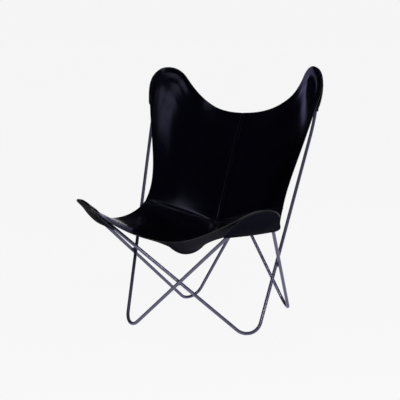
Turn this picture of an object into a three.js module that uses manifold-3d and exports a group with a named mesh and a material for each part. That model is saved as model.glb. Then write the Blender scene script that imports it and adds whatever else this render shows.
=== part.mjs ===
// Butterfly sling chair: two loops of bent steel rod, nested and welded where they cross,
// and a leather sling of four sewn panels that hangs from the four upper bends by pockets.
// Millimetres, +Z up. The sitter faces -Y, and the origin is on the floor under the chair's middle.

import * as THREE from 'three';
import { mergeVertices } from 'three/addons/utils/BufferGeometryUtils.js';
import Module from 'manifold-3d';

const wasm = await Module();
wasm.setup();

const vec = (x, y, z) => new THREE.Vector3(x, y, z);
const at = ({ x, y, z }) => vec(x, y, z);

// Frame. A corner is the point where the two straight runs beside a bend would meet.
const ROD_DIAMETER = 12;
const BEND_RADIUS = 54;
const FRONT_TIP = { halfWidth: 354, y: -212, z: 499 };
const BACK_TIP = { halfWidth: 352, y: 548, z: 968 };
const FRONT_FOOT = { halfWidth: 247, y: 0 };
const REAR_FOOT = { halfWidth: 198, y: 501 };
const ROD_GAP = 0.3;
const FOOT_FLAT_DEPTH = 1.2;
const BACK_LEAN = 26;
const BACK_LEAN_REACH = 337;
const WELD_RADIUS = 4;
const WELD_GAP = 0.3;

// Sling. Points are given for the left half; y runs back from the front feet.
const LEATHER = 3.2;
const SEAM_GAP = 0.4;
const POCKET_CLEARANCE = 0.5;
const HEM_GAP = 0.4;
const BACK_RIM_MARGIN = 36;
const FRONT_RIM_MARGIN = 31;
const FRONT_RIM_HEIGHT = -2;
const ROD_COVER = 14;
const HEM_WIDTH = 13;
const POCKET_TURN = 1;
const POCKET_FLAT = 2;
const POCKET_CORNER = 9;
const BACK_POCKET_DEPTH = 150;
const FRONT_POCKET_DEPTH = 131;
const TOP_EDGE_MIDDLE = { x: 0, y: 527, z: 724 };
const FRONT_EDGE_MIDDLE = { x: 0, y: -194, z: 339 };
const SEAM_CROSS = { x: 0, y: 260, z: 340 };
const WAIST = { x: -267, y: 217, z: 413 };

// Curves of the sling's edges and seams: the way an edge leaves its start, where it comes in beside
// a tip, in that tip's own axes, and the turn in degrees from the tip's crown where the rim begins.
// A seam leaves one point and arrives at another.
const TOP_EDGE = {
  leave: { x: -110, y: 0, z: 0 },
  arrive: { t: 246, w: 142, h: 12 },
  rimTurn: 60,
};
const BACK_SIDE = {
  leave: { x: 14, y: 100, z: 96 },
  arrive: { t: 362, w: -121, h: 13 },
  rimTurn: -80,
};
const SEAT_SIDE = {
  leave: { x: -10, y: -78, z: -53 },
  arrive: { t: 245, w: 122, h: 0 },
  rimTurn: 85,
};
const FRONT_EDGE = {
  leave: { x: -100, y: -6, z: 2 },
  arrive: { t: 146, w: -155, h: -3 },
  rimTurn: -55,
};
const BACK_SEAM = {
  leave: { x: 0, y: 40, z: 115 },
  arrive: { x: 0, y: -72, z: -114 },
};
const SEAT_SEAM = {
  leave: { x: 0, y: -140, z: -105 },
  arrive: { x: 0, y: 134, z: -89 },
};

// Swell of the panels between their edges, and the ridge beside the centre seam.
const BACK_FORM = { belly: 20, across: 1, along: 0.6, ridge: 11 };
const SEAT_FORM = { belly: -34, across: 0.65, along: 1.2, ridge: -7 };
const SEAM_RIDGE_WIDTH = 12;
const SEAM_RIDGE_FADE = 70;
const SEAM_RIDGE_START = 0.12;

// Facets
const ROD_SIDES = 12;
const BEND_STEPS = 10;
const LEAN_STEPS = 4;
const PANEL_COLUMNS = 16;
const PANEL_ROWS = 20;
const POCKET_LEG_STEPS = 6;

const ROD_RADIUS = ROD_DIAMETER / 2;
const ROD_PITCH = ROD_DIAMETER + ROD_GAP;
const RIDE_HEIGHT = ROD_RADIUS + POCKET_CLEARANCE + LEATHER / 2;

// Solids

function solidFrom(geometry) {
  const bare = geometry.clone();
  bare.deleteAttribute('normal');
  bare.deleteAttribute('uv');
  const merged = mergeVertices(bare, 1e-4);
  return new wasm.Manifold(new wasm.Mesh({
    numProp: 3,
    vertProperties: new Float32Array(merged.attributes.position.array),
    triVerts: new Uint32Array(merged.index.array),
  }));
}

function geometryFrom(solid) {
  const mesh = solid.getMesh();
  const geometry = new THREE.BufferGeometry();
  geometry.setAttribute('position', new THREE.BufferAttribute(mesh.vertProperties, 3));
  geometry.setIndex(new THREE.BufferAttribute(mesh.triVerts, 1));
  geometry.computeVertexNormals();
  return geometry;
}

// Frame loops

// One bend's own axes: m runs from the corner between the two runs, b across them towards the
// second run, and n square to both. A point there is (t, w, h) along m, b and n.
function bendAt(corner, first, second) {
  const toFirst = first.clone().sub(corner).normalize();
  const toSecond = second.clone().sub(corner).normalize();
  const halfAngle = toFirst.angleTo(toSecond) / 2;
  return {
    corner,
    halfAngle,
    m: toFirst.clone().add(toSecond).normalize(),
    b: toSecond.clone().sub(toFirst).normalize(),
    centreT: BEND_RADIUS / Math.sin(halfAngle),
    tangentLength: BEND_RADIUS / Math.tan(halfAngle),
  };
}

function lowestPoint(bend) {
  const drop = BEND_RADIUS * Math.hypot(bend.m.z, bend.b.z);
  return bend.corner.z + bend.m.z * bend.centreT - drop - ROD_RADIUS;
}

// Distance between two straight runs, positive where the second lies on the side of hint.
function runSeparation(a, b, hint) {
  const along = [a, b].map(([p, q]) => q.clone().sub(p).normalize());
  const normal = along[0].clone().cross(along[1]).normalize();
  if (normal.dot(hint) < 0) normal.negate();
  return b[0].clone().sub(a[0]).dot(normal);
}

// The four places where the loops touch: the run of each loop, and the side where loop two lies.
const CROSSINGS = {
  front: { one: ['frontTip', 'frontFoot'], two: ['frontTip', 'frontFoot'], hint: vec(0, -1, 0) },
  back: { one: ['backTip', 'rearFoot'], two: ['backTip', 'rearFoot'], hint: vec(0, -1, 0) },
  left: { one: ['frontTip', 'rearFoot'], two: ['backTip', 'frontFoot'], hint: vec(1, 0, 0) },
  right: { one: ['backTip', 'frontFoot'], two: ['frontTip', 'rearFoot'], hint: vec(1, 0, 0) },
};

// Loop two mirrors loop one, stepped aside by a rod's width, and is trimmed until the runs lie
// side by side at all four crossings and every foot reaches the floor.
function nestLoops() {
  const step = { front: ROD_PITCH, back: ROD_PITCH, left: 0, right: 0 };
  const drop = { frontFoot: [0, 0], rearFoot: [0, 0] };
  const runEnds = (loop, names) => names.map((name) => loop[name]);
  let loops;
  for (let pass = 0; pass < 60; pass += 1) {
    loops = [1, -1].map((side, i) => {
      const x = -side * ROD_PITCH / 2;
      const front = side * step.front / 2;
      const back = side * step.back / 2;
      return {
        frontTip: vec(x - side * FRONT_TIP.halfWidth, FRONT_TIP.y + front, FRONT_TIP.z),
        frontFoot: vec(
          x + side * FRONT_FOOT.halfWidth + i * step.left,
          FRONT_FOOT.y + front,
          drop.frontFoot[i],
        ),
        backTip: vec(x + side * BACK_TIP.halfWidth, BACK_TIP.y + back, BACK_TIP.z),
        rearFoot: vec(
          x - side * REAR_FOOT.halfWidth + i * step.right,
          REAR_FOOT.y + back,
          drop.rearFoot[i],
        ),
      };
    });
    for (const [name, { one, two, hint }] of Object.entries(CROSSINGS)) {
      step[name] += ROD_PITCH - runSeparation(runEnds(loops[0], one), runEnds(loops[1], two), hint);
    }
    loops.forEach((loop, i) => {
      for (const foot of ['frontFoot', 'rearFoot']) {
        drop[foot][i] -= lowestPoint(bendAt(loop[foot], loop.frontTip, loop.backTip)) + FOOT_FLAT_DEPTH;
      }
    });
  }
  return loops;
}

// The upper bends' axes as the sling meets them: n faces the sitter, and the back tips bow forward.
function tipBend({ corner, frontFoot, rearFoot, lean, rimHeight, rimMargin }) {
  const bend = bendAt(corner, frontFoot, rearFoot);
  Object.assign(bend, { rimHeight, rimMargin });
  bend.n = bend.m.clone().cross(bend.b);
  if (bend.n.z < 0) bend.n.negate();
  const topT = bend.centreT - BEND_RADIUS;
  bend.lean = (t) => lean * (Math.max(0, BACK_LEAN_REACH - t) / (BACK_LEAN_REACH - topT)) ** 2;
  bend.place = (t, w, h) => corner.clone()
    .addScaledVector(bend.m, t)
    .addScaledVector(bend.b, w)
    .addScaledVector(bend.n, h + bend.lean(t));
  bend.local = (p) => {
    const q = p.clone().sub(corner);
    const t = q.dot(bend.m);
    return { t, w: q.dot(bend.b), h: q.dot(bend.n) - bend.lean(t) };
  };
  bend.outsideRod = (t, w) => {
    const [side, slope] = [Math.abs(w), Math.tan(bend.halfAngle)];
    const round = side * slope < bend.centreT - t;
    if (round) return Math.hypot(t - bend.centreT, w) - BEND_RADIUS;
    return (side - t * slope) * Math.cos(bend.halfAngle);
  };
  bend.coverHeight = (t, w) => {
    const share = (bend.outsideRod(t, w) - ROD_COVER) / (rimMargin - ROD_COVER);
    return THREE.MathUtils.lerp(RIDE_HEIGHT, rimHeight, THREE.MathUtils.clamp(share, 0, 1));
  };
  return bend;
}

const FRONT_RIM = { lean: 0, rimHeight: FRONT_RIM_HEIGHT, rimMargin: FRONT_RIM_MARGIN };
const BACK_RIM = { lean: BACK_LEAN, rimHeight: RIDE_HEIGHT, rimMargin: BACK_RIM_MARGIN };

const tipsOf = ({ frontTip, backTip, frontFoot, rearFoot }) => ({
  front: tipBend({ corner: frontTip, frontFoot, rearFoot, ...FRONT_RIM }),
  back: tipBend({ corner: backTip, frontFoot, rearFoot, ...BACK_RIM }),
});

// Centre-line points round one bend, from its first run to its second.
function bendPoints(bend) {
  const sweep = Math.PI / 2 - bend.halfAngle;
  return Array.from({ length: BEND_STEPS + 1 }, (_, i) => {
    const turn = sweep * (2 * i / BEND_STEPS - 1);
    return { t: bend.centreT - BEND_RADIUS * Math.cos(turn), w: BEND_RADIUS * Math.sin(turn) };
  });
}

// The bowed stretch of a run beside a back tip, from where the bow starts up to the bend.
function leanPoints(bend, side) {
  const endT = bend.tangentLength * Math.cos(bend.halfAngle);
  return Array.from({ length: LEAN_STEPS }, (_, i) => {
    const t = THREE.MathUtils.lerp(BACK_LEAN_REACH, endT, i / LEAN_STEPS);
    return { t, w: side * t * Math.tan(bend.halfAngle) };
  });
}

function loopStations(loop) {
  const tips = tipsOf(loop);
  const onBend = (bend, points) => points.map(({ t, w }) => (
    bend.corner.clone().addScaledVector(bend.m, t).addScaledVector(bend.b, w)));
  const onTip = (bend, points) => points.map(({ t, w }) => bend.place(t, w, 0));
  const foot = (corner, first, second) => {
    const bend = bendAt(corner, first, second);
    return onBend(bend, bendPoints(bend));
  };
  return [
    ...onTip(tips.front, bendPoints(tips.front)).reverse(),
    ...foot(loop.frontFoot, loop.frontTip, loop.backTip),
    ...onTip(tips.back, leanPoints(tips.back, -1)),
    ...onTip(tips.back, bendPoints(tips.back)),
    ...onTip(tips.back, leanPoints(tips.back, 1)).reverse(),
    ...foot(loop.rearFoot, loop.backTip, loop.frontTip),
  ];
}

// A closed rod whose rings stand exactly at the given stations.
class BentRod extends THREE.Curve {
  constructor(stations) {
    super();
    this.stations = stations;
  }

  station(u, offset) {
    const count = this.stations.length;
    return this.stations[(Math.round(u * count) + offset + count) % count];
  }

  getPointAt(u) {
    return this.station(u, 0).clone();
  }

  getTangentAt(u) {
    const before = this.station(u, 0).clone().sub(this.station(u, -1)).normalize();
    const after = this.station(u, 1).clone().sub(this.station(u, 0)).normalize();
    return before.add(after).normalize();
  }
}

function rodLoop(loop) {
  const rod = new BentRod(loopStations(loop));
  const tube = new THREE.TubeGeometry(rod, rod.stations.length, ROD_RADIUS, ROD_SIDES, true);
  const floorSize = 4 * REAR_FOOT.y;
  const floor = new THREE.BoxGeometry(floorSize, floorSize, ROD_DIAMETER).translate(0, 0, -ROD_RADIUS);
  return geometryFrom(solidFrom(tube).subtract(solidFrom(floor)));
}

// A weld bead fills one corner between two crossing runs.
function weldBead(loops, crossing, side) {
  const runs = [loops[0], loops[1]].map((loop, i) => (
    (i === 0 ? crossing.one : crossing.two).map((name) => loop[name])));
  const [one, two] = runs.map(([p, q]) => new THREE.Ray(p, q.clone().sub(p).normalize()));
  const normal = one.direction.clone().cross(two.direction).normalize();
  const offset = two.origin.clone().sub(one.origin);
  const across = two.direction.clone().cross(normal);
  const onOne = one.at(offset.dot(across) / one.direction.dot(across), vec());
  const middle = onOne.clone().addScaledVector(normal, offset.dot(normal) / 2);
  const halfAngle = one.direction.angleTo(two.direction) / 2;
  const outward = one.direction.clone().add(two.direction).normalize().multiplyScalar(side);
  const centre = middle.clone().addScaledVector(outward, WELD_RADIUS / Math.sin(halfAngle));
  const rodLength = 16 * WELD_RADIUS;
  const rodRoom = ROD_RADIUS + WELD_GAP;
  let bead = solidFrom(new THREE.IcosahedronGeometry(WELD_RADIUS, 1).translate(...centre.toArray()));
  for (const [ray, shift] of [[one, -0.5], [two, 0.5]]) {
    const turn = new THREE.Quaternion().setFromUnitVectors(vec(0, 1, 0), ray.direction);
    const axis = middle.clone().addScaledVector(normal, shift * offset.dot(normal));
    const rod = new THREE.CylinderGeometry(rodRoom, rodRoom, rodLength, 2 * ROD_SIDES)
      .applyQuaternion(turn)
      .translate(...axis.toArray());
    bead = bead.subtract(solidFrom(rod));
  }
  return geometryFrom(bead);
}

// Sling

const easedSteps = (count) => Array.from({ length: count + 1 }, (_, i) => {
  const s = i / count;
  return 0.4 * s + 0.3 * (1 - Math.cos(Math.PI * s));
});

// The sling's rounded tip round an upper bend, as far as the given turn from the bend's crown.
function rim(bend, turn) {
  const radius = BEND_RADIUS + bend.rimMargin;
  return bend.place(bend.centreT - radius * Math.cos(turn), radius * Math.sin(turn), bend.rimHeight);
}

// An edge of the sling: a free curve from start, then round the rim to the crown of the tip.
function edgeToTip(start, { leave, arrive, rimTurn }, bend) {
  const edge = new THREE.CurvePath();
  const last = THREE.MathUtils.degToRad(rimTurn);
  const handles = [at(start).add(at(leave)), bend.place(arrive.t, arrive.w, arrive.h)];
  edge.add(new THREE.CubicBezierCurve3(at(start), ...handles, rim(bend, last)));
  const turns = Array.from({ length: 6 }, (_, i) => last * (1 - i / 5));
  edge.add(new THREE.CatmullRomCurve3(turns.map((turn) => rim(bend, turn)), false, 'centripetal'));
  return edge;
}

function seam(start, { leave, arrive }, end) {
  const handles = [at(start).add(at(leave)), at(end).add(at(arrive))];
  return new THREE.CubicBezierCurve3(at(start), ...handles, at(end));
}

// The outline and seams of the left half of the sling.
const slingLines = ({ front, back }) => ({
  topEdge: edgeToTip(TOP_EDGE_MIDDLE, TOP_EDGE, back),
  backSide: edgeToTip(WAIST, BACK_SIDE, back),
  seatSide: edgeToTip(WAIST, SEAT_SIDE, front),
  frontEdge: edgeToTip(FRONT_EDGE_MIDDLE, FRONT_EDGE, front),
  backSeam: seam(SEAM_CROSS, BACK_SEAM, TOP_EDGE_MIDDLE),
  seatSeam: seam(SEAM_CROSS, SEAT_SEAM, FRONT_EDGE_MIDDLE),
  crossSeam: new THREE.LineCurve3(at(SEAM_CROSS), at(WAIST)),
});

// A surface stretched over four edges: near and far run across it, start and end along it.
function stretched(near, far, start, end) {
  const corners = [near.getPointAt(0), near.getPointAt(1), far.getPointAt(0), far.getPointAt(1)];
  return (u, v) => {
    const point = near.getPointAt(u).multiplyScalar(1 - v);
    point.addScaledVector(far.getPointAt(u), v);
    point.addScaledVector(start.getPointAt(v), 1 - u);
    point.addScaledVector(end.getPointAt(v), u);
    const weights = [(1 - u) * (1 - v), u * (1 - v), (1 - u) * v, u * v];
    corners.forEach((corner, i) => point.addScaledVector(corner, -weights[i]));
    return point;
  };
}

// Faces of a grid of points in rows, turned over if need be to face the sitter.
function gridFaces(rows, columns, turned) {
  const faces = [];
  for (let j = 0; j < rows - 1; j += 1) {
    for (let i = 0; i < columns - 1; i += 1) {
      const [a, b] = [j * columns + i, (j + 1) * columns + i];
      faces.push([a, a + 1, b + 1], [a, b + 1, b]);
    }
  }
  return turned ? faces.map(([a, b, c]) => [a, c, b]) : faces;
}

function pointNormals(points, faces) {
  const normals = points.map(() => vec(0, 0, 0));
  for (const [a, b, c] of faces) {
    const along = points[b].clone().sub(points[a]);
    const square = along.cross(points[c].clone().sub(points[a]));
    [a, b, c].forEach((k) => normals[k].add(square));
  }
  return normals.map((normal) => normal.normalize());
}

// A closed leather sheet of even thickness about a middle surface.
function leatherSheet(points, faces, normals) {
  const positions = [];
  for (const side of [0.5, -0.5]) {
    points.forEach((point, k) => {
      positions.push(...point.clone().addScaledVector(normals[k], side * LEATHER).toArray());
    });
  }
  const under = points.length;
  const index = faces.flatMap(([a, b, c]) => [a, b, c, a + under, c + under, b + under]);
  const edges = new Set(faces.flatMap(([a, b, c]) => [`${a} ${b}`, `${b} ${c}`, `${c} ${a}`]));
  for (const edge of edges) {
    const [a, b] = edge.split(' ').map(Number);
    if (!edges.has(`${b} ${a}`)) index.push(a, a + under, b + under, a, b + under, b);
  }
  const geometry = new THREE.BufferGeometry();
  geometry.setAttribute('position', new THREE.Float32BufferAttribute(positions, 3));
  geometry.setIndex(index);
  return geometry;
}

// One half panel's middle surface, row 0 along the cross seam and column 0 along the centre seam,
// with its belly, the ridge beside the centre seam, and the rods cleared.
function halfPanel(surface, turned, form, bend) {
  const us = easedSteps(PANEL_COLUMNS);
  const vs = easedSteps(PANEL_ROWS);
  const faces = gridFaces(vs.length, us.length, turned);
  const spots = vs.flatMap((v) => us.map((u) => ({ u, v })));
  const plain = spots.map(({ u, v }) => surface(u, v));
  const plainNormals = pointNormals(plain, faces);
  const points = plain.map((point, k) => {
    const { u, v } = spots[k];
    const sag = form.belly * Math.sin(Math.PI * u ** form.across) * Math.sin(Math.PI * v ** form.along);
    const x = Math.abs(point.x);
    const rise = 1 - Math.exp(-((x / SEAM_RIDGE_WIDTH) ** 2));
    const ridge = form.ridge * rise * Math.exp(-x / SEAM_RIDGE_FADE);
    const ridgeShare = (1 - v) * THREE.MathUtils.smoothstep(v, 0, SEAM_RIDGE_START);
    const shaped = point.clone().addScaledVector(plainNormals[k], ridge * ridgeShare - sag);
    const { t, w, h } = bend.local(shaped);
    return shaped.addScaledVector(bend.n, Math.max(0, bend.coverHeight(t, w) - h));
  });
  return { points, faces, normals: pointNormals(points, faces) };
}

// The back and seat panels of one half, set apart along the seams that join them.
function halfPanels(lines, tips) {
  const backSurface = stretched(lines.crossSeam, lines.topEdge, lines.backSeam, lines.backSide);
  const seatSurface = stretched(lines.crossSeam, lines.frontEdge, lines.seatSeam, lines.seatSide);
  const back = halfPanel(backSurface, true, BACK_FORM, tips.back);
  const seat = halfPanel(seatSurface, false, SEAT_FORM, tips.front);
  const columns = PANEL_COLUMNS + 1;
  for (let i = 0; i < columns; i += 1) {
    const bisector = back.normals[i].clone().add(seat.normals[i]).normalize();
    back.normals[i] = bisector.clone();
    seat.normals[i] = bisector.clone();
  }
  for (const { points, normals } of [back, seat]) {
    for (let k = 0; k < points.length; k += columns) {
      normals[k].setX(0).normalize();
      points[k].setX(-SEAM_GAP / 2);
    }
    for (let i = 0; i < columns; i += 1) {
      const inward = points[i + columns].clone().sub(points[i]).projectOnPlane(normals[i]);
      points[i].addScaledVector(inward.setX(0).normalize(), SEAM_GAP / 2);
    }
  }
  return [back, seat].map(({ points, faces, normals }) => leatherSheet(points, faces, normals));
}

// How far an edge of the sling lies outside a bend's rod, at a distance t from the bend's corner.
function edgeMargin(edge, bend) {
  const samples = edge.getSpacedPoints(160).map((point) => bend.local(point)).reverse();
  return (t) => {
    const { w } = samples.find((sample) => sample.t > t);
    return (Math.abs(w) - t * Math.tan(bend.halfAngle)) * Math.cos(bend.halfAngle);
  };
}

// A pocket patch: sewn behind the sling's tip along the hem, and drawn round the back of the bend.
// Its stations run up one leg of the bend, round it and down the other, with a spine between.
function pocketPatch(bend, firstEdge, secondEdge, depth) {
  const sweep = Math.PI / 2 - bend.halfAngle;
  const mouthT = bend.centreT - BEND_RADIUS - bend.rimMargin + depth;
  const legT = bend.tangentLength * Math.cos(bend.halfAngle);
  const leg = Array.from({ length: POCKET_LEG_STEPS }, (_, i) => (
    THREE.MathUtils.lerp(mouthT, legT, i / POCKET_LEG_STEPS)));
  const margins = [edgeMargin(firstEdge, bend), edgeMargin(secondEdge, bend)];
  const legStation = (side) => (t) => {
    const room = Math.min(bend.rimMargin, margins[side > 0 ? 1 : 0](t));
    return {
      room,
      spot: (r) => [t, side * (t * Math.tan(bend.halfAngle) + r / Math.cos(bend.halfAngle))],
    };
  };
  const bendStation = (turn) => ({
    room: bend.rimMargin,
    spot: (r) => [
      bend.centreT - (BEND_RADIUS + r) * Math.cos(turn),
      (BEND_RADIUS + r) * Math.sin(turn),
    ],
  });
  const turns = Array.from({ length: BEND_STEPS + 1 }, (_, i) => sweep * (2 * i / BEND_STEPS - 1));
  const stations = [
    ...leg.map(legStation(-1)),
    ...turns.map(bendStation),
    ...leg.toReversed().map(legStation(1)),
  ];
  const hemHeight = bend.rimHeight - LEATHER - HEM_GAP;
  const profile = (room, corner) => [
    [room - corner, hemHeight],
    [room - HEM_WIDTH, hemHeight],
    [ROD_DIAMETER, (hemHeight - RIDE_HEIGHT) / 2],
    [ROD_RADIUS - POCKET_TURN, -RIDE_HEIGHT],
    [-ROD_RADIUS - POCKET_FLAT, -RIDE_HEIGHT],
  ];
  const rings = profile(bend.rimMargin, 0).length;
  const atMouth = (s) => s === 0 || s === stations.length - 1;
  const points = stations.flatMap(({ room, spot }, s) => (
    profile(room, atMouth(s) ? POCKET_CORNER : 0).map(([r, h]) => bend.place(...spot(r), h))));
  const spine = points.length;
  points.push(...[...leg, bend.centreT].map((t) => bend.place(t, 0, -RIDE_HEIGHT)));
  const spineAt = (s) => spine + Math.min(s, stations.length - 1 - s, POCKET_LEG_STEPS);
  const faces = gridFaces(stations.length, rings, false);
  for (let s = 0; s < stations.length - 1; s += 1) {
    const [a, b] = [s * rings + rings - 1, (s + 1) * rings + rings - 1];
    faces.push([a, spineAt(s), b]);
    if (spineAt(s) !== spineAt(s + 1)) faces.push([b, spineAt(s), spineAt(s + 1)]);
  }
  return leatherSheet(points, faces, pointNormals(points, faces));
}

function outwardFacing(geometry) {
  const position = geometry.attributes.position;
  const index = geometry.index.array;
  const corner = (k) => vec().fromBufferAttribute(position, index[k]);
  let volume = 0;
  for (let k = 0; k < index.length; k += 3) {
    volume += corner(k).dot(corner(k + 1).cross(corner(k + 2)));
  }
  if (volume < 0) geometry.setIndex([...index].reverse());
  geometry.computeVertexNormals();
  return geometry;
}

// Assembly

const finish = (color, roughness, metalness) => (
  () => new THREE.MeshStandardMaterial({ color, roughness, metalness }));
const rodFinish = finish(0x1c1b22, 0.38, 0.6);
const weldFinish = finish(0x1c1b22, 0.5, 0.6);
const leatherFinish = finish(0x08080c, 0.36, 0);
const suedeFinish = finish(0x25242c, 0.8, 0);

const chair = new THREE.Group();

function addPiece(group, name, geometry, material) {
  const mesh = new THREE.Mesh(outwardFacing(geometry), material);
  mesh.name = name;
  group.add(mesh);
}

const loops = nestLoops();
const frame = new THREE.Group();
addPiece(frame, 'rod_loop_right_back', rodLoop(loops[0]), rodFinish());
addPiece(frame, 'rod_loop_left_back', rodLoop(loops[1]), rodFinish());
for (const [place, crossing] of Object.entries(CROSSINGS)) {
  addPiece(frame, `weld_${place}_upper`, weldBead(loops, crossing, -1), weldFinish());
  addPiece(frame, `weld_${place}_lower`, weldBead(loops, crossing, 1), weldFinish());
}
chair.add(frame);

const mirrored = (loop) => Object.fromEntries(
  Object.entries(loop).map(([name, p]) => [name, vec(-p.x, p.y, p.z)]));
const sling = new THREE.Group();
const halves = [
  { side: 'left', flip: 1, front: loops[0], back: loops[1] },
  { side: 'right', flip: -1, front: mirrored(loops[1]), back: mirrored(loops[0]) },
];
for (const { side, flip, front, back } of halves) {
  const tips = { front: tipsOf(front).front, back: tipsOf(back).back };
  const lines = slingLines(tips);
  const [backPanel, seatPanel] = halfPanels(lines, tips);
  const pockets = {
    back: pocketPatch(tips.back, lines.backSide, lines.topEdge, BACK_POCKET_DEPTH),
    front: pocketPatch(tips.front, lines.frontEdge, lines.seatSide, FRONT_POCKET_DEPTH),
  };
  addPiece(sling, `back_panel_${side}`, backPanel.scale(flip, 1, 1), leatherFinish());
  addPiece(sling, `seat_panel_${side}`, seatPanel.scale(flip, 1, 1), leatherFinish());
  addPiece(sling, `back_pocket_${side}`, pockets.back.scale(flip, 1, 1), suedeFinish());
  addPiece(sling, `front_pocket_${side}`, pockets.front.scale(flip, 1, 1), suedeFinish());
}
chair.add(sling);

// The origin lies under the middle of the whole chair.
const middle = new THREE.Box3().setFromObject(chair).getCenter(vec());
chair.position.set(-middle.x, -middle.y, 0);

export default chair;
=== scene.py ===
"""Butterfly sling chair: a leather sling hung on nested loops of bent steel rod.

Each panel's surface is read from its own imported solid, and the rods are bent again from the sizes
that the frame was made to. Metres, +Z up, and the sitter faces -Y.
"""

import logging
import math
from dataclasses import dataclass, field
from enum import Enum

import bmesh
import bpy
import numpy as np
from bmesh.types import BMEdge, BMesh, BMVert
from bpy.types import ID, Material, Node, NodeSocket, Object
from mathutils import Matrix, Vector
from numpy import ndarray

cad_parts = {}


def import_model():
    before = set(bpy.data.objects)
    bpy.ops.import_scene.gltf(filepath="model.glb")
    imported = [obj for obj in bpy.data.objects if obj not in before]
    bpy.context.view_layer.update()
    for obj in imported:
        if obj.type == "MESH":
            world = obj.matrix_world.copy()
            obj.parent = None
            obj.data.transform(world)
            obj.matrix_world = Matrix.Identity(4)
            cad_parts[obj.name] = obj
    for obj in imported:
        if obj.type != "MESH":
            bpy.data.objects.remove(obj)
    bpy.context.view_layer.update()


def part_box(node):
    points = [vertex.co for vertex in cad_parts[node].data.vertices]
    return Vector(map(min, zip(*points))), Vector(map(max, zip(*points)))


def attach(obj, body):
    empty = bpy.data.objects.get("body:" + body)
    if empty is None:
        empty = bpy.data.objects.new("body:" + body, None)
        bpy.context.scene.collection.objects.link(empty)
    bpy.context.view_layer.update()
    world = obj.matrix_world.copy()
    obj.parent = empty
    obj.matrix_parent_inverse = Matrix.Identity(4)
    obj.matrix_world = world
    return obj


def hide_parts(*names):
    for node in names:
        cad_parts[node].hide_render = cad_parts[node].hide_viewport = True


log = logging.getLogger("sling_chair")

BODY = "root"
LEATHER = 0.0032
LEATHER_MATCH = 5e-6
MERGE_REACH = 1e-6
NOISE_RANGE = (0.3, 0.7)


# Helpers


def eased(values: ndarray, start: float, end: float) -> ndarray:
    """Ease from 0 to 1.

    Args:
        values: places to read.
        start: where the result is 0.
        end: where the result is 1, above or below the start.

    Returns:
        The eased values, held at 0 and 1 outside.
    """
    held = np.clip((values - start) / (end - start), 0.0, 1.0)
    return held * held * (3.0 - 2.0 * held)


def unit(vectors: ndarray) -> ndarray:
    """Scale each vector along the last axis to length 1."""
    return vectors / np.maximum(np.linalg.norm(vectors, axis=-1, keepdims=True), 1e-12)


def run_of(path: ndarray) -> ndarray:
    """Distance of each point of a path from its start, along the path."""
    steps = np.linalg.norm(np.diff(path, axis=0), axis=1)
    return np.concatenate([[0.0], np.cumsum(steps)])


def read_along(at: ndarray | float, run: ndarray, values: ndarray) -> ndarray:
    """Read the vectors along a path at given distances, between its points."""
    return np.stack([np.interp(at, run, column) for column in values.T], axis=-1)


def spline_weights(count: int, at: ndarray) -> ndarray:
    """Weights of a natural cubic spline through evenly numbered points.

    Args:
        count: how many points the spline passes through.
        at: places to read, where 0 is the first point and count - 1 the last.

    Returns:
        A matrix that turns the points into the values at those places.
    """
    system = np.eye(count)
    bends = np.zeros((count, count))
    for k in range(1, count - 1):
        system[k, k - 1 : k + 2] = (1.0, 4.0, 1.0)
        bends[k, k - 1 : k + 2] = (6.0, -12.0, 6.0)
    second = np.linalg.solve(system, bends)
    cell = np.clip(np.floor(at).astype(int), 0, count - 2)
    f = at - cell
    weights = np.zeros((len(at), count))
    rows = np.arange(len(at))
    weights[rows, cell] = 1.0 - f
    weights[rows, cell + 1] = f
    weights += (((1.0 - f) ** 3 - (1.0 - f)) / 6.0)[:, None] * second[cell]
    weights += ((f**3 - f) / 6.0)[:, None] * second[cell + 1]
    return weights


def crowded_steps(count: int, crowding: float) -> ndarray:
    """Steps from 0 to 1 that lie closer together at both ends.

    Args:
        count: how many steps there are.
        crowding: 0 for even steps, towards 1 for crowded ends.

    Returns:
        count + 1 values.
    """
    even = np.linspace(0.0, 1.0, count + 1)
    return even - crowding * np.sin(2.0 * math.pi * even) / (2.0 * math.pi)


def piece_from(bm: BMesh, name: str, finishes: tuple, node: str = "") -> Object:
    """Make a smooth piece of a bmesh and let it ride on the chair.

    Args:
        bm: the shape, which is freed.
        name: the piece's name.
        finishes: materials, in the order of the faces' indices.
        node: the solid that it replaces, if any.

    Returns:
        The new object.
    """
    mesh = bpy.data.meshes.new(name)
    for face in bm.faces:
        face.smooth = True
    bm.to_mesh(mesh)
    bm.free()
    for finish in finishes:
        mesh.materials.append(finish)
    piece = bpy.data.objects.new(name, mesh)
    bpy.context.scene.collection.objects.link(piece)
    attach(piece, BODY)
    if node:
        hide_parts(node)
    return piece


def ring_parts(made: list) -> tuple[list, list]:
    """Split an operator's result into its vertices and its edges."""
    verts = [part for part in made if isinstance(part, BMVert)]
    edges = [part for part in made if isinstance(part, BMEdge)]
    return verts, edges


def merged_solid(node: str) -> tuple[BMesh, set]:
    """Copy a leather node's solid, with its loose triangles merged.

    Args:
        node: the node's name.

    Returns:
        The copy, and its faces along the cut edge, which are as wide as the leather is thick.
    """
    bm = bmesh.new()
    bm.from_mesh(bpy.data.objects[node].data)
    bmesh.ops.remove_doubles(bm, verts=bm.verts, dist=MERGE_REACH)
    cut = {
        face
        for edge in bm.edges
        if abs(edge.calc_length() - LEATHER) < LEATHER_MATCH
        for face in edge.link_faces
    }
    return bm, cut


# Finishes


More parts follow.
